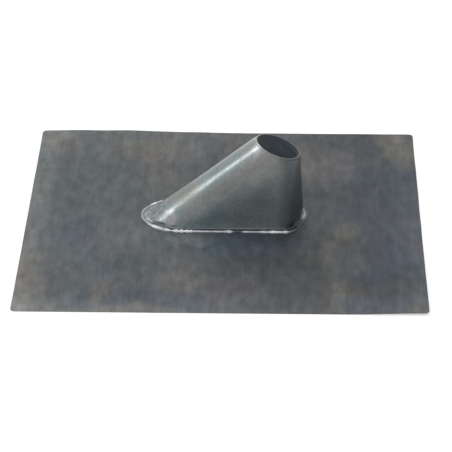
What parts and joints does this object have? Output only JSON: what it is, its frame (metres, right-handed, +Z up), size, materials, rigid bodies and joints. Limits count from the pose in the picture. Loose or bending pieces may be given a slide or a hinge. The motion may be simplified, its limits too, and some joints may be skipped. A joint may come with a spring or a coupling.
{
  "type": "zinc flashing tile",
  "caption": "Flat zinc roof flashing sheet with an oblique tapered sleeve soldered over an oval opening, so that a round mast or pipe can pass through a pitched roof.",
  "frame": {"origin": "under the middle of the sheet, on the surface it lies on", "axes": "+Z up out of the sheet, +X up the roof, from the sleeve's long nose to its steep heel, +Y across"},
  "size_m": [0.5, 0.5, 0.1095],
  "materials": {
    "zinc_sheet": "weathered zinc sheet, dull and patchy",
    "zinc_sleeve": "bare zinc, worn bright along the ridge",
    "solder": "hand-run solder, lumpy and dull silver"
  },
  "bodies": {
    "root": {"base_plate": "zinc_sheet", "sleeve": "zinc_sleeve", "flange_solder": "solder", "lap_solder": "solder"}
  },
  "joints": []
}
